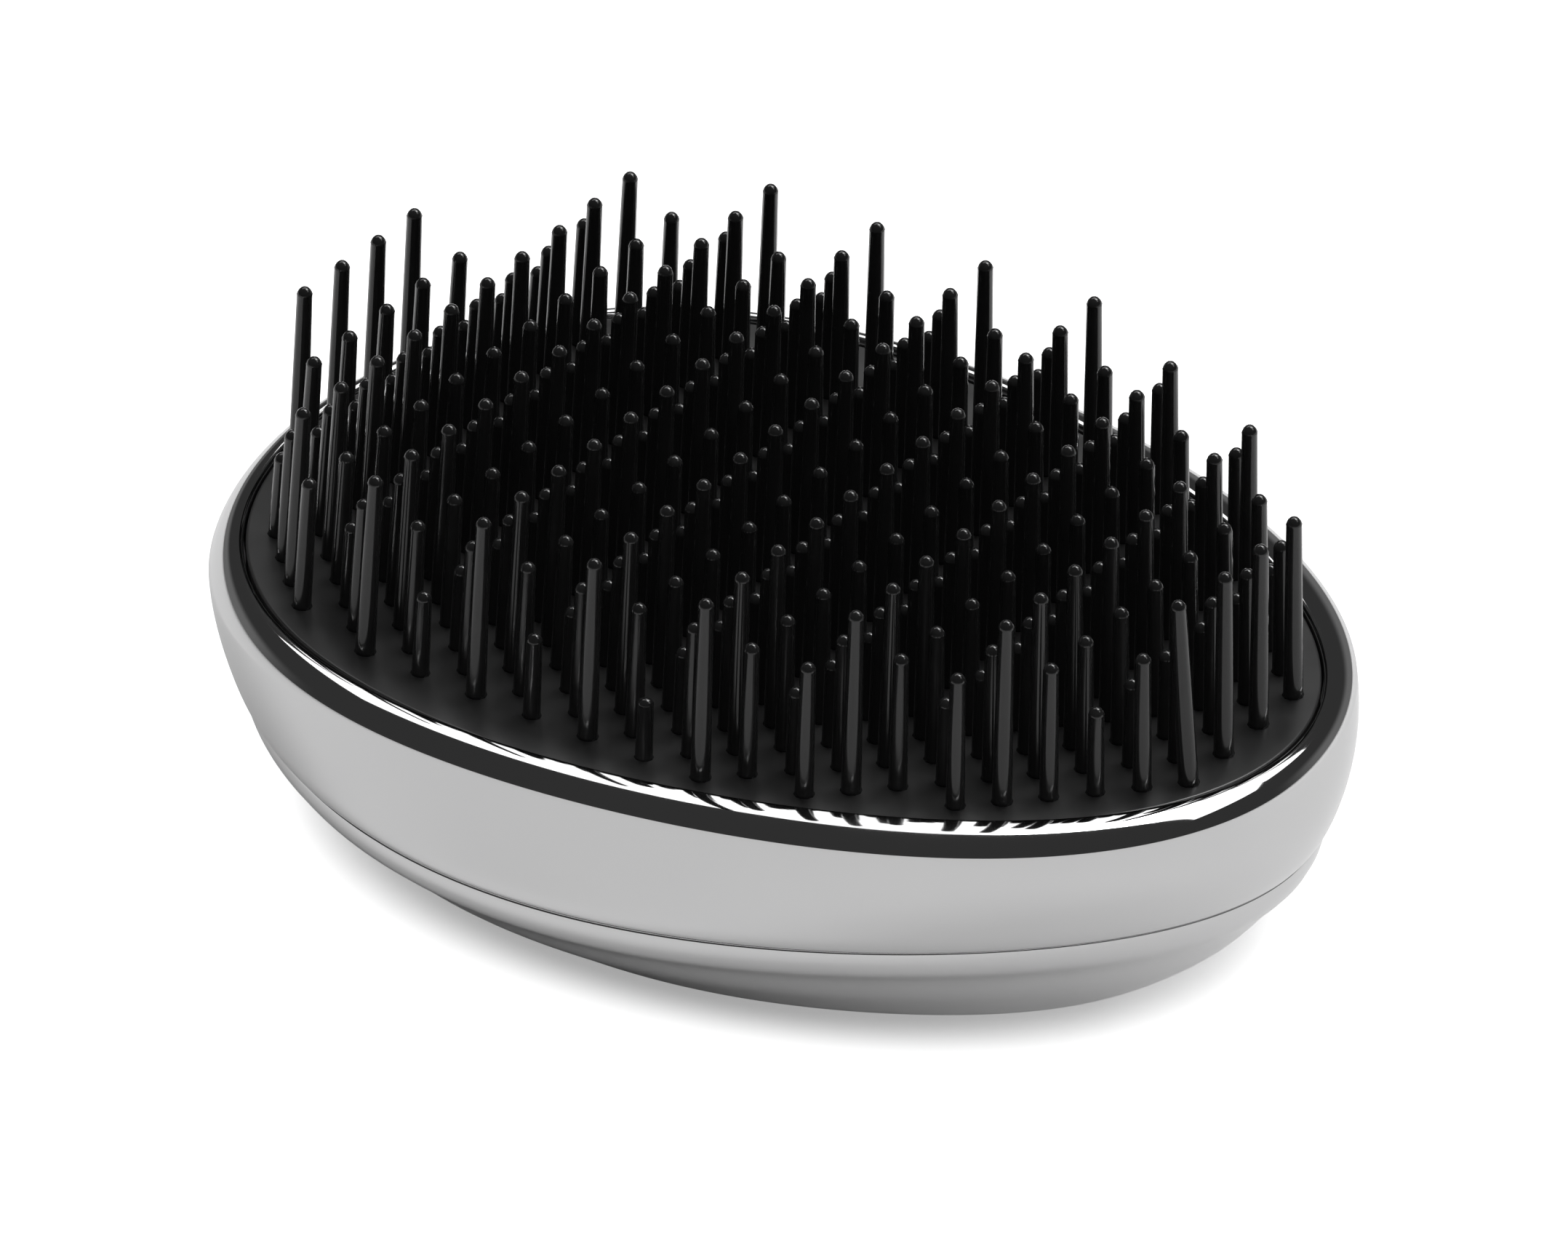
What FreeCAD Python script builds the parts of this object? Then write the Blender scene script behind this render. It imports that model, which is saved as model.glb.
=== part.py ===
"""Palm-held detangling brush, lying on its domed back with the bristles up.

A plated rim shell and a plated back cover close into one egg-shaped grip. A dished black
plate drops into the rim, and staggered rows of long, medium and short bristles stand on it.
Lengths are in millimetres. +X points to the narrow end and +Z up, and the origin is on the
resting face, below the middle of the outline.
"""
import FreeCAD, Part
import math
import os

# Body outline at the rim, seen from above
body_length = 109.9
body_width = 84.1
body_taper_share = 0.114
# Heights, from the resting face upwards
dome_depth = 22.7
wall_height = 9.8
rim_height = 2.8
# Swell of the rim shell's wall, from the rim down to the seam
wall_depth_shares = (0.0, 0.5, 1.0)
wall_length_shares = (1.0, 1.003, 0.976)
wall_width_shares = (1.0, 1.04, 1.053)
wall_fullness_shares = (0.043, -0.01, -0.061)
# Rounding of the back cover, from the seam down to the resting face
dome_depth_shares = (0.0, 0.185, 0.36, 0.537, 0.714, 0.846, 0.947, 1.0)
dome_length_shares = (0.97, 0.94, 0.884, 0.811, 0.714, 0.61, 0.491, 0.364)
dome_width_shares = (1.045, 0.988, 0.886, 0.762, 0.631, 0.507, 0.376, 0.262)
dome_fullness_shares = (-0.061, -0.084, -0.084, -0.084, -0.084, -0.084, -0.084, -0.084)
# Walls of the two shells and the joint between them
rim_wall = 2.0
cover_wall = 2.0
cover_floor = 2.2
seam_bevel = 0.7
rim_edge_bevel = 0.35
lip_height = 3.0
lip_wall = 1.2
lip_clearance = 0.25
lip_lead = 0.6
cavity_depth_shares = (1.0, 0.8, 0.45, 0.0)
cavity_width_shares = (0.36, 0.57, 0.8, 1.0)
# Rim around the bristle plate
rim_end_width = 3.15
rim_side_width = 3.55
rim_land = 0.9
rim_land_bevel = 0.4
rim_roll_shares = (0.25, 0.5, 0.75, 1.0)
# Bristle plate and the ledge that it rests on
plate_gap = 0.25
plate_sink = 1.5
plate_thickness = 2.4
plate_taper_share = 0.176
plate_fullness_share = 0.043
dish_radius = 1000.0
dish_ring_shares = (0.1, 0.3, 0.5, 0.7, 0.9, 1.1)
ledge_width = 1.5
ledge_thickness = 1.8
# Skirt and pegs under the plate, and the posts that grip the pegs
skirt_height = 2.6
skirt_wall = 1.2
skirt_clearance = 0.25
peg_diameter = 3.2
peg_length = 7.0
peg_clearance = 0.1
peg_end_gap = 1.0
post_wall = 1.5
post_spacing_x = 50.0
post_spacing_y = 34.0
# Bristles
bristle_pitch = 6.0
row_shift = -0.55
field_end_margin = 2.0
field_side_margin = 3.2
long_bristle = 18.5
medium_bristle = 13.65
short_bristle = 8.75
bristle_tip_diameter = 1.25
bristle_draft_deg = 0.62
bristle_sides = 6
tip_height_share = 0.7
# Modelling aids
outline_stations = 60
overrun = 4.0
touch = 0.001

seam_level = dome_depth
rim_level = seam_level + wall_height
crest_level = rim_level + rim_height
plate_top = crest_level - plate_sink
plate_under = plate_top - plate_thickness
ledge_under = plate_under - ledge_thickness
half_length = body_length / 2
half_width = body_width / 2
plate_half_length = half_length - rim_end_width
plate_half_width = half_width - rim_side_width
row_spacing = bristle_pitch / 2
up = FreeCAD.Vector(0, 0, 1)


def egg(half_l, half_w, taper_share, fullness_share, level):
    """Points round an egg outline: narrower towards +X, full or lean at its shoulders."""
    points = []
    for station in range(outline_stations):
        angle = 2 * math.pi * station / outline_stations
        c = math.cos(angle)
        s = math.sin(angle)
        x = half_l * c * (1 + fullness_share * s * s)
        y = half_w * s * (1 + fullness_share * c * c) * (1 - taper_share * c)
        points.append(FreeCAD.Vector(x, y, level))
    return points


def loop(points):
    """Closed wire through the points of an outline."""
    return Part.makePolygon(points + points[:1])


def raised(points, lift):
    """Outline moved up by a lift, or down by a negative one."""
    return [point + up * lift for point in points]


def faceted(polygons):
    """Solid closed by flat facets, each given by its corners."""
    shell = Part.Shell([Part.Face(loop(corners)) for corners in polygons])
    shell.sewShape()
    return Part.Solid(shell)


def loft(outlines):
    """Solid banded over a rising stack of outlines, with two facets at each station of a band."""
    polygons = [outlines[0][::-1], outlines[-1]]
    for lower, upper in zip(outlines, outlines[1:]):
        for station in range(outline_stations):
            polygons.append([lower[station - 1], lower[station], upper[station]])
            polygons.append([lower[station - 1], upper[station], upper[station - 1]])
    return faceted(polygons)


def prism(points, height):
    """Straight-sided solid standing on an outline."""
    return Part.Face(loop(points)).extrude(up * height)


def cylinder(diameter, height, x, y, level):
    """Upright round bar."""
    return Part.makeCylinder(diameter / 2, height, FreeCAD.Vector(x, y, level))


def wall_outline(row, inset):
    """Outline of the rim shell's wall at one row of its table, drawn in by an inset."""
    level = rim_level - wall_height * wall_depth_shares[row]
    return egg(half_length * wall_length_shares[row] - inset, half_width * wall_width_shares[row] - inset,
               body_taper_share, wall_fullness_shares[row], level)


def dome_outline(row, inset, depth):
    """Outline of the back cover at one row of its table, drawn in by an inset."""
    level = seam_level - depth * dome_depth_shares[row]
    return egg(half_length * dome_length_shares[row] - inset, half_width * dome_width_shares[row] - inset,
               body_taper_share, dome_fullness_shares[row], level)


def cavity_outline(depth_share, width_share):
    """Outline of the hollow in the back cover at a share of its depth."""
    level = seam_level - (dome_depth - cover_floor) * depth_share
    return egg((half_length * dome_length_shares[0] - cover_wall) * width_share,
               (half_width * dome_width_shares[0] - cover_wall) * width_share,
               body_taper_share, dome_fullness_shares[0], level)


def plate_outline(inset, level):
    """Outline of the bristle plate, drawn in by an inset, or out by a negative one."""
    return egg(plate_half_length - inset, plate_half_width - inset,
               plate_taper_share, plate_fullness_share, level)


def roll_outline(share):
    """Outline on the rim's rounded shoulder, from the wall at 0 to the crest at 1."""
    angle = share * math.pi / 2
    lift = up * (rim_height * math.sin(angle))
    crest = plate_outline(-rim_land, rim_level)
    return [inner + (outer - inner) * math.cos(angle) + lift
            for inner, outer in zip(crest, wall_outline(0, 0))]


def dish_level(radius):
    """Height of the plate's dished top at a distance from its middle."""
    return plate_top + dish_radius - math.sqrt(dish_radius ** 2 - radius ** 2)


def peg_places():
    """Centres of the four pegs that hold the plate down."""
    return [(sx * post_spacing_x / 2, sy * post_spacing_y / 2) for sx in (-1, 1) for sy in (-1, 1)]


def make_rim_shell():
    """Plated band: swelling wall, rounded rim, pocket and ledge for the plate, open below."""
    outlines = [wall_outline(-1, rim_edge_bevel), raised(wall_outline(-1, 0), rim_edge_bevel)]
    outlines += [wall_outline(row, 0) for row in range(len(wall_depth_shares) - 2, -1, -1)]
    outlines += [roll_outline(share) for share in rim_roll_shares]
    shell = loft(outlines)
    room = loft([wall_outline(row, rim_wall) for row in range(len(wall_depth_shares) - 1, -1, -1)])
    above_ledge = Part.makeBox(2 * body_length, 2 * body_width, wall_height,
                               FreeCAD.Vector(-body_length, -body_width, ledge_under))
    pocket = prism(plate_outline(-plate_gap, plate_under), crest_level - plate_under + overrun)
    mouth = prism(plate_outline(ledge_width, ledge_under - overrun), plate_under - ledge_under + 2 * overrun)
    flare_reach = rim_land_bevel + overrun
    flare = loft([plate_outline(-plate_gap, crest_level - rim_land_bevel),
                  plate_outline(-plate_gap - flare_reach, crest_level - rim_land_bevel + flare_reach)])
    return shell.cut(room.cut(above_ledge)).cut(pocket).cut(mouth).cut(flare).removeSplitter()


def make_back_cover():
    """Plated dome with a lip that centres it in the rim shell, and a post under each peg."""
    rows = range(len(dome_depth_shares) - 1, 0, -1)
    outlines = [dome_outline(row, 0, dome_depth) for row in rows]
    outlines += [raised(dome_outline(0, 0, 0), -seam_bevel), dome_outline(0, seam_bevel, 0)]
    outside = loft(outlines)
    inside = loft([cavity_outline(*shares) for shares in zip(cavity_depth_shares, cavity_width_shares)])
    lip_inset = rim_wall + lip_clearance
    lip_foot = raised(wall_outline(-1, lip_inset), -lip_height)
    lip_tip = raised(wall_outline(-1, lip_inset + lip_lead), lip_height)
    lip_bore = raised(wall_outline(-1, lip_inset + lip_lead + lip_wall), -lip_height)
    lip = loft([lip_foot, wall_outline(-1, lip_inset), lip_tip]).cut(prism(lip_bore, 2 * lip_height))
    cover = outside.cut(inside).fuse(lip)
    socket_diameter = peg_diameter + 2 * peg_clearance
    socket_depth = peg_length + peg_end_gap
    for x, y in peg_places():
        post = cylinder(socket_diameter + 2 * post_wall, seam_level, x, y, 0).common(outside)
        post = post.fuse(cylinder(socket_diameter + 2 * post_wall, plate_under - seam_level, x, y, seam_level))
        socket = cylinder(socket_diameter, socket_depth, x, y, plate_under - socket_depth)
        cover = cover.fuse(post).cut(socket)
    return cover.removeSplitter()


def make_bristle_plate():
    """Black plate with a dished top, a skirt inside the ledge and four pegs."""
    plate = prism(plate_outline(0, plate_under), plate_thickness + overrun)
    radii = [plate_half_length * share for share in dish_ring_shares]
    rings = [egg(radius, radius, 0, 0, dish_level(radius)) for radius in radii]
    plate = plate.cut(loft(rings + [raised(rings[-1], 2 * overrun)]))
    skirt_inset = ledge_width + skirt_clearance
    skirt = prism(plate_outline(skirt_inset, plate_under - skirt_height), skirt_height)
    skirt = skirt.cut(prism(plate_outline(skirt_inset + skirt_wall, plate_under - skirt_height), skirt_height))
    plate = plate.fuse(skirt)
    for x, y in peg_places():
        plate = plate.fuse(cylinder(peg_diameter, peg_length, x, y, plate_under - peg_length))
    return plate.removeSplitter()


def bristle(length):
    """One tapered bristle with a blunt tip, standing on the origin."""
    tip_radius = bristle_tip_diameter / 2
    base_radius = tip_radius + length * math.tan(math.radians(bristle_draft_deg))
    corners = [FreeCAD.Vector(math.cos(angle), math.sin(angle), 0)
               for angle in [2 * math.pi * side / bristle_sides for side in range(bristle_sides)]]
    foot = [corner * base_radius for corner in corners]
    neck = [corner * tip_radius + up * (length - tip_radius * tip_height_share) for corner in corners]
    tip = up * length
    polygons = [foot[::-1]]
    for side in range(bristle_sides):
        polygons.append([foot[side - 1], foot[side], neck[side], neck[side - 1]])
        polygons.append([neck[side - 1], neck[side], tip])
    return faceted(polygons)


def bristle_feet(cycle):
    """Feet on the dish of the bristles whose row has one of the given places in the cycle of four."""
    field = Part.Face(loop(egg(plate_half_length - field_end_margin, plate_half_width - field_side_margin,
                               plate_taper_share, plate_fullness_share, 0)))
    row_reach = math.ceil(plate_half_length / row_spacing)
    column_reach = math.ceil(plate_half_width / row_spacing)
    feet = []
    for row in range(-row_reach, row_reach + 1):
        for column in range(-column_reach, column_reach + 1):
            spot = FreeCAD.Vector(row_shift + row * row_spacing, column * row_spacing, 0)
            staggered = (row + column) % 2 == 1
            if row % 4 in cycle and staggered and field.isInside(spot, touch, True):
                feet.append(spot + up * dish_level(spot.Length))
    return feet


def make_bristles(length, cycle):
    """Rows of like bristles, each square to the dish."""
    pattern = bristle(length)
    dish_centre = up * (plate_top + dish_radius)
    bristles = []
    for foot in bristle_feet(cycle):
        turn = FreeCAD.Rotation(up, dish_centre - foot)
        bristles.append(pattern.transformed(FreeCAD.Placement(foot, turn).toMatrix(), copy=True))
    return Part.makeCompound(bristles)


nodes = {
    "back_cover": make_back_cover(),
    "rim_shell": make_rim_shell(),
    "bristle_plate": make_bristle_plate(),
    "bristles_long": make_bristles(long_bristle, (0,)),
    "bristles_medium": make_bristles(medium_bristle, (1, 3)),
    "bristles_short": make_bristles(short_bristle, (2,)),
}
os.makedirs("parts", exist_ok=True)
for name, shape in nodes.items():
    shape.exportStep("parts/" + name + ".step")
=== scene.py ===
import math

import bpy
import numpy as np
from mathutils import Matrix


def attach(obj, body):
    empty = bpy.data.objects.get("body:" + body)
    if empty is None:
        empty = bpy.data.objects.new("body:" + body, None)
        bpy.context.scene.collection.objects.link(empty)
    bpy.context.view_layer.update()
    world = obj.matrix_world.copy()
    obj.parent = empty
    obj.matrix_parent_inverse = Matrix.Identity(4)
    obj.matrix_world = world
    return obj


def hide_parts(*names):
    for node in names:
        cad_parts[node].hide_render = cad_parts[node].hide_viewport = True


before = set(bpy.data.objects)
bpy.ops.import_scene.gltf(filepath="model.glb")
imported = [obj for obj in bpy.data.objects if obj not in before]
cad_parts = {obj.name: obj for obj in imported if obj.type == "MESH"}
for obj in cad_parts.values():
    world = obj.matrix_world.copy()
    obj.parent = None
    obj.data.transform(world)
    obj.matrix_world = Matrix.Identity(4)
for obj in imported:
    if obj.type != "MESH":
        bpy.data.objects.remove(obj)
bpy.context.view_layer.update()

bpy.context.scene.view_settings.view_transform = "Standard"

# Back cover
# The domed half of the grip that lies in the palm, moulded in ABS and chrome plated.
# Its lip centres it inside the rim shell, and four posts inside it hold the plate's pegs.
mm = 0.001
stations = 288
round_the_rim = np.arange(stations) * (2 * math.pi / stations)
body_taper = 0.114
seam_level = 22.7
seam_half_length = 53.63
seam_half_width = 44.28
seam_fullness = -0.061
seam_roll = 0.25
seam_roll_steps = 9
seam_roll_inset_ends = 0.10
seam_roll_inset_more_at_sides = 0.15
lip_height = 3.0
lip_foot_inset = 2.25
lip_tip_inset = 2.85
lip_bore_inset = 4.05
hollow_half_length = 51.3
hollow_half_width = 41.94
hollow_depth = 20.5
hollow_rows = (
    # share of the hollow's depth, share of its size
    (0.00, 0.965), (0.45, 0.80), (0.80, 0.57), (1.00, 0.36),
)
dome_steps = 44
dome_rows = np.array([
    # depth below the seam, half length, half width, fullness of the shoulders
    (0.00, 53.45, 43.66, -0.061),
    (1.30, 53.32, 43.78, -0.066),
    (2.50, 52.96, 43.36, -0.074),
    (4.20, 51.65, 41.55, -0.084),
    (8.17, 48.58, 37.26, -0.084),
    (12.19, 44.56, 32.04, -0.084),
    (16.21, 39.23, 26.53, -0.084),
    (19.20, 33.52, 21.32, -0.084),
    (21.50, 26.98, 15.81, -0.084),
    (22.70, 20.00, 11.02, -0.084),
])


def egg_outline(half_length, half_width, taper, fullness, level, shift=0.0):
    """Points round an egg outline, narrower towards +X and shifted along it."""
    c, s = np.cos(round_the_rim), np.sin(round_the_rim)
    x = half_length * c * (1 + fullness * s * s) + shift
    y = half_width * s * (1 + fullness * c * c) * (1 - taper * c)
    return np.stack([x, y, level + np.zeros(stations)], axis=1)


def smooth_rows(rows, steps):
    """Even steps along a smooth curve through the rows of a table."""
    chord = np.r_[0, np.cumsum(np.hypot(np.diff(rows[:, 0]), np.diff(rows[:, 1])))]
    count = len(chord)
    gap = np.diff(chord)
    bend = np.eye(count)
    pull = np.zeros((count, rows.shape[1]))
    for k in range(1, count - 1):
        bend[k, k - 1:k + 2] = gap[k - 1], 2 * (gap[k - 1] + gap[k]), gap[k]
        pull[k] = 6 * ((rows[k + 1] - rows[k]) / gap[k] - (rows[k] - rows[k - 1]) / gap[k - 1])
    second = np.linalg.solve(bend, pull)
    at = np.linspace(0, chord[-1], steps)
    k = np.clip(np.searchsorted(chord, at, side="right") - 1, 0, count - 2)
    h, left, right = gap[k][:, None], (chord[k + 1] - at)[:, None], (at - chord[k])[:, None]
    curved = (second[k] * left ** 3 + second[k + 1] * right ** 3) / (6 * h)
    from_left = (rows[k] / h - second[k] * h / 6) * left
    from_right = (rows[k + 1] / h - second[k + 1] * h / 6) * right
    return curved + from_left + from_right


def skin(name, outlines, ring=False, sharp_deg=40):
    """Closed mesh over a stack of outlines. A ring joins its last outline to its first,
    and a stack that isn't a ring is closed by a fan at each end."""
    points = [tuple(p) for outline in outlines for p in outline * mm]
    faces = []
    bands = len(outlines) if ring else len(outlines) - 1
    for band in range(bands):
        low, high = band * stations, (band + 1) % len(outlines) * stations
        for k in range(stations):
            n = (k + 1) % stations
            faces.append((low + k, low + n, high + n, high + k))
    if not ring:
        for end, outline in ((0, outlines[0]), (len(outlines) - 1, outlines[-1])):
            points.append(tuple(outline.mean(axis=0) * mm))
            for k in range(stations):
                edge = (end * stations + (k + 1) % stations, end * stations + k)
                faces.append((edge if end == 0 else edge[::-1]) + (len(points) - 1,))
    mesh = bpy.data.meshes.new(name)
    mesh.from_pydata(points, [], faces)
    mesh.validate()
    mesh.shade_smooth()
    mesh.set_sharp_from_angle(angle=math.radians(sharp_deg))
    piece = bpy.data.objects.new(name, mesh)
    bpy.context.scene.collection.objects.link(piece)
    return piece


def new_material(name):
    """Node material with its nodes, its links and its shader."""
    material = bpy.data.materials.new(name)
    material.use_nodes = True
    nodes = material.node_tree.nodes
    return material, nodes, material.node_tree.links, nodes["Principled BSDF"]


def chrome_plating():
    """Bright chrome over moulded plastic: faint orange peel and wiped-over smears."""
    material, nodes, links, shader = new_material("chrome_plating")
    place = nodes.new("ShaderNodeTexCoord")
    smear = nodes.new("ShaderNodeTexNoise")
    smear.inputs["Scale"].default_value = 55.0
    smear.inputs["Detail"].default_value = 4.0
    rough = nodes.new("ShaderNodeMapRange")
    rough.inputs["From Min"].default_value = 0.35
    rough.inputs["From Max"].default_value = 0.70
    rough.inputs["To Min"].default_value = 0.035
    rough.inputs["To Max"].default_value = 0.075
    peel = nodes.new("ShaderNodeTexNoise")
    peel.inputs["Scale"].default_value = 900.0
    bump = nodes.new("ShaderNodeBump")
    bump.inputs["Strength"].default_value = 0.02
    bump.inputs["Distance"].default_value = 0.00002
    tint = nodes.new("ShaderNodeMix")
    tint.data_type = "RGBA"
    tint.inputs["A"].default_value = (0.655, 0.655, 0.660, 1)
    tint.inputs["B"].default_value = (0.700, 0.698, 0.698, 1)
    links.new(place.outputs["Object"], smear.inputs["Vector"])
    links.new(place.outputs["Object"], peel.inputs["Vector"])
    links.new(smear.outputs["Fac"], rough.inputs["Value"])
    links.new(smear.outputs["Fac"], tint.inputs["Factor"])
    links.new(tint.outputs["Result"], shader.inputs["Base Color"])
    links.new(rough.outputs["Result"], shader.inputs["Roughness"])
    links.new(peel.outputs["Fac"], bump.inputs["Height"])
    links.new(bump.outputs["Normal"], shader.inputs["Normal"])
    shader.inputs["Metallic"].default_value = 1.0
    return material


outside = []
for depth, length, width, fullness in smooth_rows(dome_rows, dome_steps)[::-1]:
    level = seam_level - depth
    if level < seam_level - seam_roll:
        outside.append(egg_outline(length, width, body_taper, fullness, level))
seam_roll_inset = (seam_roll_inset_ends
                   + seam_roll_inset_more_at_sides * np.sin(round_the_rim) ** 2)
for step in range(seam_roll_steps, -1, -1):
    turn = step / seam_roll_steps * math.pi / 2
    depth = seam_roll * (1 - math.cos(turn))
    length, width, fullness = (np.interp(depth, dome_rows[:, 0], dome_rows[:, column])
                               for column in (1, 2, 3))
    inset = seam_roll_inset * (1 - math.sin(turn))
    outside.append(egg_outline(length - inset, width - inset, body_taper, fullness,
                               seam_level - depth))
inside = []
for inset, level in ((lip_foot_inset, seam_level), (lip_tip_inset, seam_level + lip_height),
                     (lip_bore_inset, seam_level + lip_height)):
    inside.append(egg_outline(seam_half_length - inset, seam_half_width - inset, body_taper,
                              seam_fullness, level))
for depth_share, size_share in hollow_rows:
    inside.append(egg_outline(hollow_half_length * size_share, hollow_half_width * size_share,
                              body_taper, seam_fullness,
                              seam_level - hollow_depth * depth_share))
back_cover = skin("back_cover_dome", outside + inside)
chrome = chrome_plating()
back_cover.data.materials.append(chrome)
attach(back_cover, "root")
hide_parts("back_cover")

# Rim shell
# The plated band round the bristles: a swelling wall, a rounded rim and a pocket with a
# ledge for the plate. Moulded in one piece and chrome plated, it snaps over the cover's lip.
rim_level = 32.5
crest_level = 35.3
crest_rise_at_sides = 0.45
crest_rise_turn = math.radians(23)
plate_half_length = 51.45
plate_half_width = 38.50
plate_shift = 0.35
plate_taper = 0.176
plate_fullness = 0.043
rim_land = 0.8
pocket_gap = 0.2
pocket_round = 0.55
pocket_round_steps = 6
ledge_width = 1.5
ledge_level = 31.4
ledge_under = 29.6
seam_gap = 0.18
wall_bottom = rim_level - seam_level - seam_gap
wall_thickness = 2.0
wall_steps = 16
inner_wall_rows = 5
lower_edge_round = 1.8
lower_edge_steps = 9
lower_edge_inset_ends = 0.22
lower_edge_inset_more_at_sides = 0.28
roll_steps = 26
roll_foot_middle = -0.45
roll_foot_end_to_end = -1.30
roll_foot_ends_to_sides = 0.86
roll_foot_pull = 0.32
roll_crest_pull = 0.52
slope_step = 0.05
wall_rows = np.array([
    # depth below the rim, half length, half width, fullness of the shoulders, shift along X
    (0.0, 54.80, 42.51, 0.041, -0.105),
    (4.9, 54.91, 43.26, 0.000, 0.050),
    (9.8, seam_half_length, seam_half_width, seam_fullness, 0.000),
])


def plate_outline(inset, level):
    """Outline of the bristle plate, drawn in by an inset, or out by a negative one."""
    return egg_outline(plate_half_length - inset, plate_half_width - inset, plate_taper,
                       plate_fullness, level, plate_shift)


def wall_outline(depth, inset=0.0):
    """Outline of the wall at a depth below the rim, on a parabola through its three rows."""
    length, width, fullness, shift = (
        np.polyval(np.polyfit(wall_rows[:, 0], wall_rows[:, column], 2), depth)
        for column in (1, 2, 3, 4))
    return egg_outline(length - inset, width - inset, body_taper, fullness,
                       rim_level - depth, shift)


section = []
lower_edge_inset = (lower_edge_inset_ends
                    + lower_edge_inset_more_at_sides * np.sin(round_the_rim) ** 2)
for step in range(lower_edge_steps + 1):
    turn = step / lower_edge_steps * math.pi / 2
    section.append(wall_outline(wall_bottom - lower_edge_round * (1 - math.cos(turn)),
                                lower_edge_inset * (1 - math.sin(turn))))
roll_foot = (roll_foot_middle + roll_foot_end_to_end * np.cos(round_the_rim)
             + roll_foot_ends_to_sides * np.cos(2 * round_the_rim))
for step in range(1, wall_steps + 1):
    share = step / wall_steps
    section.append(wall_outline((1 - share) * (wall_bottom - lower_edge_round)
                                + share * roll_foot))
crest_top = crest_level + crest_rise_at_sides * np.sin(round_the_rim - crest_rise_turn) ** 4
crest = plate_outline(-rim_land, crest_top)
foot = wall_outline(roll_foot)
foot_slope = (wall_outline(roll_foot - slope_step)
              - wall_outline(roll_foot + slope_step)) / (2 * slope_step)
reach = foot - crest
reach[:, 2] = 0
foot_handle = foot + foot_slope * (roll_foot_pull
                                   * (crest_top - rim_level + roll_foot))[:, None]
crest_handle = crest + reach * roll_crest_pull
for step in range(1, roll_steps + 1):
    t = step / roll_steps
    section.append(foot * (1 - t) ** 3 + foot_handle * 3 * t * (1 - t) ** 2
                   + crest_handle * 3 * t * t * (1 - t) + crest * t ** 3)
for step in range(pocket_round_steps + 1):
    turn = step / pocket_round_steps * math.pi / 2
    section.append(plate_outline(-pocket_gap - pocket_round * (1 - math.sin(turn)),
                                 crest_top - pocket_round * (1 - math.cos(turn))))
section.append(plate_outline(-pocket_gap, ledge_level))
section.append(plate_outline(ledge_width, ledge_level))
section.append(plate_outline(ledge_width, ledge_under))
for depth in np.linspace(rim_level - ledge_under, wall_bottom, inner_wall_rows):
    section.append(wall_outline(depth, wall_thickness))
rim_shell = skin("rim_shell_band", section, ring=True)
rim_shell.data.materials.append(chrome)
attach(rim_shell, "root")
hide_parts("rim_shell")

# Bristle plate
# The glossy black plate that drops into the rim's pocket. Its top is dished, and a skirt
# and four pegs below hold it. Moulded in one shot with the bristles in flexible nylon.
plate_top = 33.8
dish_radius = 1000.0
dish_radius_across = 640.0
plate_edge_round = 0.25
plate_edge_steps = 4
plate_rings = 14
skirt_inset = 1.75
skirt_wall = 1.2
skirt_under = 28.8


def black_nylon(name, roughness_low, roughness_high, bump_strength):
    """Black moulded nylon: fine moulding grain and cloudy changes of its soft gloss."""
    material, nodes, links, shader = new_material(name)
    place = nodes.new("ShaderNodeTexCoord")
    cloud = nodes.new("ShaderNodeTexNoise")
    cloud.inputs["Scale"].default_value = 130.0
    cloud.inputs["Detail"].default_value = 5.0
    rough = nodes.new("ShaderNodeMapRange")
    rough.inputs["From Min"].default_value = 0.3
    rough.inputs["From Max"].default_value = 0.7
    rough.inputs["To Min"].default_value = roughness_low
    rough.inputs["To Max"].default_value = roughness_high
    tint = nodes.new("ShaderNodeMix")
    tint.data_type = "RGBA"
    tint.inputs["A"].default_value = (0.014, 0.014, 0.0145, 1)
    tint.inputs["B"].default_value = (0.030, 0.030, 0.030, 1)
    grain = nodes.new("ShaderNodeTexNoise")
    grain.inputs["Scale"].default_value = 2600.0
    bump = nodes.new("ShaderNodeBump")
    bump.inputs["Strength"].default_value = bump_strength
    bump.inputs["Distance"].default_value = 0.00002
    links.new(place.outputs["Object"], cloud.inputs["Vector"])
    links.new(place.outputs["Object"], grain.inputs["Vector"])
    links.new(cloud.outputs["Fac"], rough.inputs["Value"])
    links.new(cloud.outputs["Fac"], tint.inputs["Factor"])
    links.new(tint.outputs["Result"], shader.inputs["Base Color"])
    links.new(rough.outputs["Result"], shader.inputs["Roughness"])
    links.new(grain.outputs["Fac"], bump.inputs["Height"])
    links.new(bump.outputs["Normal"], shader.inputs["Normal"])
    shader.inputs["IOR"].default_value = 1.53
    return material


def dish_level(x, y):
    """Height of the plate's dished top at a place on it."""
    return plate_top + x * x / (2 * dish_radius) + y * y / (2 * dish_radius_across)


def dished(outline):
    """Outline laid on the plate's dished top."""
    laid = outline.copy()
    laid[:, 2] = dish_level(laid[:, 0], laid[:, 1])
    return laid


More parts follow.
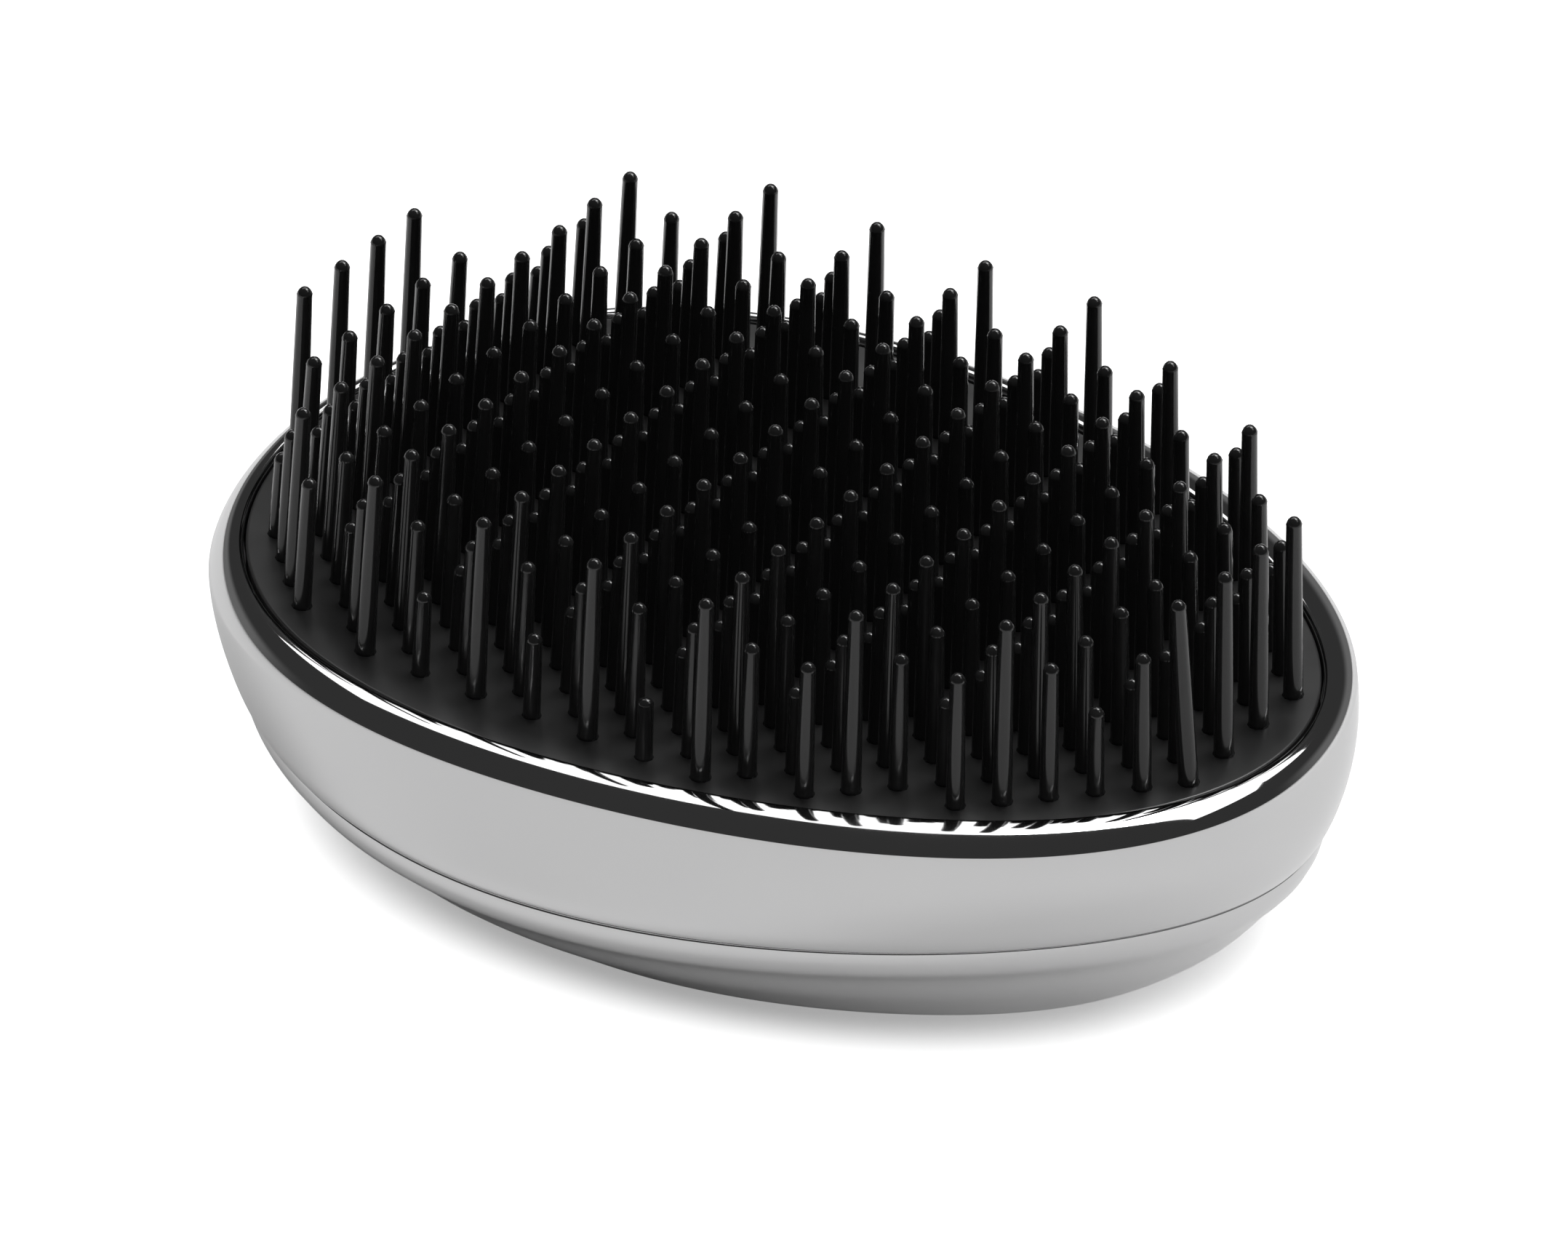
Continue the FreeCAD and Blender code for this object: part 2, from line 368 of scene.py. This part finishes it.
plate_section = [plate_outline(skirt_inset + skirt_wall, ledge_level),
                 plate_outline(skirt_inset + skirt_wall, skirt_under),
                 plate_outline(skirt_inset, skirt_under),
                 plate_outline(skirt_inset, ledge_level),
                 plate_outline(0.0, ledge_level)]
for step in range(plate_edge_steps + 1):
    turn = step / plate_edge_steps * math.pi / 2
    rounded = dished(plate_outline(plate_edge_round * (1 - math.cos(turn)), 0.0))
    rounded[:, 2] -= plate_edge_round * (1 - math.sin(turn))
    plate_section.append(rounded)
for ring_share in np.linspace(1, 0, plate_rings)[1:-1]:
    laid = plate_outline(plate_edge_round, 0.0)
    laid[:, :2] *= ring_share
    plate_section.append(dished(laid))
bristle_plate = skin("bristle_plate_dish", plate_section, sharp_deg=50)
plate_nylon = black_nylon("black_nylon_plate", roughness_low=0.30, roughness_high=0.42,
                          bump_strength=0.10)
bristle_plate.data.materials.append(plate_nylon)
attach(bristle_plate, "root")
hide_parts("bristle_plate")

# Bristles
# Three lengths of tapered nylon bristle in staggered rows, one moulding with the plate.
# Each has a ball tip with the mould's witness ring below it, and stands square to the dish.
# On this brush one is stunted, one is bent and one row leans out a little.
row_gap = 3.0
row_shift = -0.55
row_reach = 17
column_reach = 13
field_half_length = 49.8
field_half_width = 35.3
tip_radius = 0.705
draft_deg = 0.66
root_depth = 0.05
foot_flare = 0.12
flare_height = 0.3
ring_swell = 0.035
ring_height = 0.08
ring_foot = 0.14
bristle_sides = 10
lean = 0.006
stunted_bristle = (2, -11)
stunted_share = 0.69
bent_bristle = (16, -3)
bent_lean = np.array([-0.052, -0.030, 0.0])
splayed_row = -16
splayed_lean = np.array([-0.018, 0.0, 0.0])


def bristle_tree():
    """Node tree that stands a lathe-turned bristle on every foot it is given."""
    tree = bpy.data.node_groups.new("bristles_on_feet", "GeometryNodeTree")
    sockets = {}
    for label, kind, value in (("Feet", "NodeSocketGeometry", None),
                               ("Length", "NodeSocketFloat", None),
                               ("Tip Radius", "NodeSocketFloat", tip_radius * mm),
                               ("Foot Radius", "NodeSocketFloat", None),
                               ("Foot Flare", "NodeSocketFloat", foot_flare * mm),
                               ("Ring Swell", "NodeSocketFloat", ring_swell * mm),
                               ("Sides", "NodeSocketInt", bristle_sides),
                               ("Lean", "NodeSocketFloat", lean),
                               ("Seed", "NodeSocketInt", None),
                               ("Finish", "NodeSocketMaterial", None)):
        socket = tree.interface.new_socket(label, in_out="INPUT", socket_type=kind)
        if value is not None:
            socket.default_value = value
        sockets[label] = socket.identifier
    tree.interface.new_socket("Bristles", in_out="OUTPUT", socket_type="NodeSocketGeometry")
    nodes, links = tree.nodes, tree.links
    given = nodes.new("NodeGroupInput")
    result = nodes.new("NodeGroupOutput")

    def maths(operation, *values):
        node = nodes.new("ShaderNodeMath")
        node.operation = operation
        for slot_number, value in enumerate(values):
            if isinstance(value, (int, float)):
                node.inputs[slot_number].default_value = value
            else:
                links.new(value, node.inputs[slot_number])
        return node.outputs["Value"]

    length, tip = given.outputs["Length"], given.outputs["Tip Radius"]
    foot_radius = given.outputs["Foot Radius"]
    ring_radius = maths("ADD", tip, given.outputs["Ring Swell"])
    shoulder = maths("SUBTRACT", length, tip)
    profile = [
        # radius and height of each row of the bristle, from the middle of its foot to its tip
        (0.0, -root_depth * mm),
        (maths("ADD", foot_radius, given.outputs["Foot Flare"]), -root_depth * mm),
        (foot_radius, flare_height * mm),
        (maths("MULTIPLY", tip, 1.02), maths("SUBTRACT", shoulder, ring_foot * mm)),
        (ring_radius, maths("SUBTRACT", shoulder, ring_height * mm)),
        (ring_radius, shoulder),
        (maths("MULTIPLY", tip, 0.90), maths("ADD", shoulder, maths("MULTIPLY", tip, 0.42))),
        (maths("MULTIPLY", tip, 0.52), maths("ADD", shoulder, maths("MULTIPLY", tip, 0.85))),
        (0.0, length),
    ]
    bands = len(profile) - 1
    grid = nodes.new("GeometryNodeMeshGrid")
    grid.inputs["Size X"].default_value = 1.0
    grid.inputs["Size Y"].default_value = 1.0
    grid.inputs["Vertices Y"].default_value = len(profile)
    links.new(maths("ADD", given.outputs["Sides"], 1), grid.inputs["Vertices X"])
    spot = nodes.new("GeometryNodeInputPosition")
    parts = nodes.new("ShaderNodeSeparateXYZ")
    links.new(spot.outputs["Position"], parts.inputs["Vector"])
    row = maths("ROUND", maths("MULTIPLY", maths("ADD", parts.outputs["Y"], 0.5), bands))
    turn = maths("MULTIPLY", parts.outputs["X"], 2 * math.pi)

    def row_value(column):
        switch = nodes.new("GeometryNodeIndexSwitch")
        switch.data_type = "FLOAT"
        while len(switch.index_switch_items) < len(profile):
            switch.index_switch_items.new()
        links.new(row, switch.inputs["Index"])
        for number, entry in enumerate(profile):
            if isinstance(entry[column], float):
                switch.inputs[number + 1].default_value = entry[column]
            else:
                links.new(entry[column], switch.inputs[number + 1])
        return switch.outputs["Output"]

    radius, height = row_value(0), row_value(1)
    lathed = nodes.new("ShaderNodeCombineXYZ")
    links.new(maths("MULTIPLY", radius, maths("COSINE", turn)), lathed.inputs["X"])
    links.new(maths("MULTIPLY", radius, maths("SINE", turn)), lathed.inputs["Y"])
    links.new(height, lathed.inputs["Z"])
    shape = nodes.new("GeometryNodeSetPosition")
    links.new(grid.outputs["Mesh"], shape.inputs["Geometry"])
    links.new(lathed.outputs["Vector"], shape.inputs["Position"])
    closed = nodes.new("GeometryNodeMergeByDistance")
    closed.inputs["Distance"].default_value = 0.002 * mm
    links.new(shape.outputs["Geometry"], closed.inputs["Geometry"])
    smooth = nodes.new("GeometryNodeSetShadeSmooth")
    links.new(closed.outputs["Geometry"], smooth.inputs["Geometry"])
    axis = nodes.new("GeometryNodeInputNamedAttribute")
    axis.data_type = "FLOAT_VECTOR"
    axis.inputs["Name"].default_value = "axis"
    upright = nodes.new("FunctionNodeAlignRotationToVector")
    upright.axis = "Z"
    links.new(axis.outputs["Attribute"], upright.inputs["Vector"])
    sway = nodes.new("FunctionNodeRandomValue")
    sway.data_type = "FLOAT_VECTOR"
    lean_back = maths("MULTIPLY", given.outputs["Lean"], -1)
    for lean_value, end in ((lean_back, "Min"), (given.outputs["Lean"], "Max")):
        corner = nodes.new("ShaderNodeCombineXYZ")
        links.new(lean_value, corner.inputs["X"])
        links.new(lean_value, corner.inputs["Y"])
        links.new(corner.outputs["Vector"], sway.inputs[end])
    links.new(given.outputs["Seed"], sway.inputs["Seed"])
    leaning = nodes.new("FunctionNodeRotateRotation")
    leaning.rotation_space = "LOCAL"
    links.new(upright.outputs["Rotation"], leaning.inputs["Rotation"])
    links.new(sway.outputs["Value"], leaning.inputs["Rotate By"])
    stretch = nodes.new("GeometryNodeInputNamedAttribute")
    stretch.data_type = "FLOAT"
    stretch.inputs["Name"].default_value = "stretch"
    scale = nodes.new("ShaderNodeCombineXYZ")
    scale.inputs["X"].default_value = 1.0
    scale.inputs["Y"].default_value = 1.0
    links.new(stretch.outputs["Attribute"], scale.inputs["Z"])
    stand = nodes.new("GeometryNodeInstanceOnPoints")
    links.new(given.outputs["Feet"], stand.inputs["Points"])
    links.new(smooth.outputs["Geometry"], stand.inputs["Instance"])
    links.new(leaning.outputs["Rotation"], stand.inputs["Rotation"])
    links.new(scale.outputs["Vector"], stand.inputs["Scale"])
    real = nodes.new("GeometryNodeRealizeInstances")
    links.new(stand.outputs["Instances"], real.inputs["Geometry"])
    finish = nodes.new("GeometryNodeSetMaterial")
    links.new(real.outputs["Geometry"], finish.inputs["Geometry"])
    links.new(given.outputs["Finish"], finish.inputs["Material"])
    links.new(finish.outputs["Geometry"], result.inputs["Bristles"])
    return tree, sockets


def bristle_feet(cycle, length):
    """Foot, axis and stretch of the bristles whose row has a place in the cycle of four.
    The stretch keeps the tips level where the dish rises more steeply across the plate."""
    start = egg_outline(field_half_length, field_half_width, plate_taper, plate_fullness,
                        0.0)[:, :2]
    run = np.roll(start, -1, axis=0) - start
    feet, axes, stretches = [], [], []
    for row in range(-row_reach, row_reach + 1):
        for column in range(-column_reach, column_reach + 1):
            x, y = row_shift + row * row_gap, column * row_gap
            side = run[:, 0] * (y - start[:, 1]) - run[:, 1] * (x - start[:, 0])
            if row % 4 not in cycle or (row + column) % 2 == 0 or side.min() < 0:
                continue
            axis = np.array([-x / dish_radius, -y / dish_radius, 1.0])
            if (row, column) == bent_bristle:
                axis += bent_lean
            if row == splayed_row:
                axis += splayed_lean
            shorter = y * y / 2 * (1 / dish_radius_across - 1 / dish_radius)
            stretch = 1 - shorter / length
            if (row, column) == stunted_bristle:
                stretch = stunted_share
            feet.append((x * mm, y * mm, dish_level(x, y) * mm))
            axes.append(axis / np.linalg.norm(axis))
            stretches.append(stretch)
    return feet, axes, stretches


def make_bristles(name, length, cycle, seed):
    """One piece with all the bristles of one length."""
    feet, axes, stretches = bristle_feet(cycle, length)
    mesh = bpy.data.meshes.new(name + "_feet")
    mesh.from_pydata(feet, [], [])
    axis_values = mesh.attributes.new("axis", "FLOAT_VECTOR", "POINT").data
    axis_values.foreach_set("vector", np.array(axes).ravel())
    mesh.attributes.new("stretch", "FLOAT", "POINT").data.foreach_set("value", stretches)
    carrier = bpy.data.objects.new(name + "_feet", mesh)
    bpy.context.scene.collection.objects.link(carrier)
    modifier = carrier.modifiers.new("bristles", "NODES")
    modifier.node_group = bristles_on_feet
    foot_radius = tip_radius + length * math.tan(math.radians(draft_deg))
    modifier[bristle_sockets["Length"]] = length * mm
    modifier[bristle_sockets["Foot Radius"]] = foot_radius * mm
    modifier[bristle_sockets["Seed"]] = seed
    modifier[bristle_sockets["Finish"]] = bristle_nylon
    evaluated = carrier.evaluated_get(bpy.context.evaluated_depsgraph_get())
    grown = bpy.data.meshes.new_from_object(evaluated)
    grown.name = name
    carrier.modifiers.clear()
    bpy.data.objects.remove(carrier)
    piece = bpy.data.objects.new(name, grown)
    bpy.context.scene.collection.objects.link(piece)
    return piece


bristle_nylon = black_nylon("black_nylon_bristle", roughness_low=0.10, roughness_high=0.17,
                            bump_strength=0.05)
bristles_on_feet, bristle_sockets = bristle_tree()
for node, length, cycle, seed in (("bristles_long", 18.48, (0,), 3),
                                  ("bristles_medium", 13.65, (1, 3), 5),
                                  ("bristles_short", 8.75, (2,), 8)):
    bristles = make_bristles(node + "_rows", length, cycle, seed)
    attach(bristles, "root")
    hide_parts(node)

# Floor
# The white table that the brush lies on, plain and wide enough to fill every view.
# It glows white to the camera and more dimly in reflections. The glow is painted darker in an
# ellipse round the brush: a painted shadow to the camera and painted shade in reflections, added
# to the lamps' real shadow.
floor_half = 4.0
floor_mesh = bpy.data.meshes.new("floor")
floor_mesh.from_pydata([(-floor_half, -floor_half, 0), (floor_half, -floor_half, 0),
                        (floor_half, floor_half, 0), (-floor_half, floor_half, 0)],
                       [], [(0, 1, 2, 3)])
floor = bpy.data.objects.new("floor", floor_mesh)
bpy.context.scene.collection.objects.link(floor)
floor_paint, nodes, links, shader = new_material("white_table_painted_shadow")
shader.inputs["Base Color"].default_value = (0.9, 0.9, 0.9, 1)
shader.inputs["Roughness"].default_value = 0.9
shader.inputs["Specular IOR Level"].default_value = 0.0
path = nodes.new("ShaderNodeLightPath")
place = nodes.new("ShaderNodeTexCoord")


def larger(first, second):
    """Node that passes on the larger of two values."""
    node = nodes.new("ShaderNodeMath")
    node.operation = "MAXIMUM"
    links.new(first.outputs["Value"], node.inputs[0])
    links.new(second.outputs["Value"], node.inputs[1])
    return node


def table_glow_painted_shadow(middle, half_axes, turn, near, far, least, most, rays):
    """Glow of the lit table for the named kinds of ray, with painted shade under the brush.
    Round an ellipse under the brush it rises from least to most between near and far, in shares
    of the half axes, so its dim middle is a painted shadow."""
    painted_shadow_ellipse = nodes.new("ShaderNodeMapping")
    painted_shadow_ellipse.vector_type = "TEXTURE"
    painted_shadow_ellipse.inputs["Location"].default_value = (middle[0] * mm, middle[1] * mm, 0)
    painted_shadow_ellipse.inputs["Rotation"].default_value = (0, 0, turn)
    painted_shadow_ellipse.inputs["Scale"].default_value = (half_axes[0] * mm, half_axes[1] * mm, 1)
    away = nodes.new("ShaderNodeVectorMath")
    away.operation = "LENGTH"
    links.new(place.outputs["Object"], painted_shadow_ellipse.inputs["Vector"])
    links.new(painted_shadow_ellipse.outputs["Vector"], away.inputs[0])
    fade = nodes.new("ShaderNodeMapRange")
    fade.interpolation_type = "SMOOTHSTEP"
    fade.inputs["From Min"].default_value = near
    fade.inputs["From Max"].default_value = far
    fade.inputs["To Min"].default_value = least
    fade.inputs["To Max"].default_value = most
    links.new(away.outputs["Value"], fade.inputs["Value"])
    total = None
    for ray in rays:
        share = nodes.new("ShaderNodeMath")
        share.operation = "MULTIPLY"
        links.new(path.outputs[ray], share.inputs[0])
        links.new(fade.outputs["Result"], share.inputs[1])
        total = share if total is None else larger(total, share)
    return total


# Painted shadow: the camera sees the table darker in an ellipse round the brush's foot.
seen_glow_painted_shadow = table_glow_painted_shadow(middle=(-6.5, 10.8), half_axes=(43.3, 30.0), turn=0.199,
                       near=0.98, far=1.22, least=0.34, most=1.0, rays=["Is Camera Ray"])
# Painted shade: reflections see the table dark under the brush and off to its left, which darkens
# the chrome's lower dome.
mirrored_glow_painted_shade = table_glow_painted_shadow(middle=(-30, -2), half_axes=(46, 32), turn=0.0,
                           near=0.70, far=2.00, least=0.0, most=0.27,
                           rays=["Is Glossy Ray", "Is Transmission Ray"])
glow_with_painted_shadow = larger(seen_glow_painted_shadow, mirrored_glow_painted_shade)
links.new(glow_with_painted_shadow.outputs["Value"], shader.inputs["Emission Strength"])
shader.inputs["Emission Color"].default_value = (1, 1, 1, 1)
floor_mesh.materials.append(floor_paint)

# Studio light
# A softbox of three panels overhead, a little behind the brush, with a small lamp in it that
# only reflections show. Three fill panels soften the shadow and stay out of reflections.
# The room is dark, with a faint grey sweep low down behind the brush.
view_turn = math.radians(31.97)
fill_width = 1.0
fill_depth = 0.8
fill_distance = 1.3
room_shade = 0.040
sweep_shade = 0.17


def light_panel(name, shape, width, depth, energy):
    """Panel light of a width and a depth, in metres, and an energy in watts."""
    panel = bpy.data.lights.new(name, "AREA")
    panel.shape = shape
    panel.size = width
    panel.size_y = depth
    panel.energy = energy
    lamp = bpy.data.objects.new(name, panel)
    bpy.context.scene.collection.objects.link(lamp)
    return lamp


for name, shape, left, back, height, width, depth, turn_deg, radiance, lights_brush in (
        ("softbox_middle", "RECTANGLE", -0.115, 0.435, 0.74, 1.33, 0.39, 0, 1.85, True),
        ("softbox_rear", "ELLIPSE", 0.0, 0.72, 0.74, 0.56, 0.50, 0, 1.18, True),
        ("softbox_right", "RECTANGLE", -0.45, 0.16, 0.74, 1.00, 0.40, -30, 1.85, True),
        ("softbox_lamp", "RECTANGLE", -0.32, 0.21, 0.73, 0.35, 0.35, -30, 8.0, False)):
    box = light_panel(name, shape, width, depth, math.pi * width * depth * radiance)
    box.location = (-back * math.sin(view_turn) - left * math.cos(view_turn),
                    back * math.cos(view_turn) - left * math.sin(view_turn), height)
    box.rotation_euler = (0, 0, view_turn + math.radians(turn_deg))
    box.visible_diffuse = lights_brush
for name, turn_deg, lift_deg, energy in (("fill_left", -80, 42, 0.5), ("fill_top", 0, 60, 2.6),
                                         ("fill_right", 80, 42, 0.3)):
    fill = light_panel(name, "RECTANGLE", fill_width, fill_depth, energy)
    turn, lift = view_turn + math.radians(turn_deg), math.radians(lift_deg)
    fill.location = (fill_distance * math.cos(lift) * math.sin(turn),
                     -fill_distance * math.cos(lift) * math.cos(turn),
                     fill_distance * math.sin(lift))
    fill.rotation_euler = (math.pi / 2 - lift, 0, turn)
    fill.visible_glossy = False
    fill.visible_camera = False
room = bpy.data.worlds.new("dark_room")
room.use_nodes = True
nodes, links = room.node_tree.nodes, room.node_tree.links
direction = nodes.new("ShaderNodeTexCoord")
height = nodes.new("ShaderNodeSeparateXYZ")
behind = nodes.new("ShaderNodeVectorMath")
behind.operation = "DOT_PRODUCT"
behind.inputs[1].default_value = (-math.sin(view_turn), math.cos(view_turn), 0)
low_down = nodes.new("ShaderNodeMapRange")
at_the_back = nodes.new("ShaderNodeMapRange")
for fade, start, end, first, last in ((low_down, 0.12, 0.30, 1, 0), (at_the_back, 0.0, 0.5, 0, 1)):
    fade.interpolation_type = "SMOOTHSTEP"
    fade.inputs["From Min"].default_value = start
    fade.inputs["From Max"].default_value = end
    fade.inputs["To Min"].default_value = first
    fade.inputs["To Max"].default_value = last
sweep = nodes.new("ShaderNodeMath")
sweep.operation = "MULTIPLY"
shade = nodes.new("ShaderNodeMapRange")
shade.inputs["To Min"].default_value = room_shade
shade.inputs["To Max"].default_value = sweep_shade
links.new(direction.outputs["Generated"], height.inputs["Vector"])
links.new(direction.outputs["Generated"], behind.inputs[0])
links.new(height.outputs["Z"], low_down.inputs["Value"])
links.new(behind.outputs["Value"], at_the_back.inputs["Value"])
links.new(low_down.outputs["Result"], sweep.inputs[0])
links.new(at_the_back.outputs["Result"], sweep.inputs[1])
links.new(sweep.outputs["Value"], shade.inputs["Value"])
links.new(shade.outputs["Result"], nodes["Background"].inputs["Strength"])
nodes["Background"].inputs["Color"].default_value = (1, 1, 1, 1)
bpy.context.scene.world = room

# Camera
# A long lens from above the brush's front right, as the photograph was taken.
camera = bpy.data.cameras.new("camera")
camera.sensor_width = 36.0
camera.lens = 291.93
camera.clip_end = 20.0
viewer = bpy.data.objects.new("camera", camera)
bpy.context.scene.collection.objects.link(viewer)
viewer.location = (0.521879, -0.837521, 0.634620)
viewer.rotation_euler = tuple(math.radians(a) for a in (58.4974, -1.5334, 32.9134))
bpy.context.scene.camera = viewer
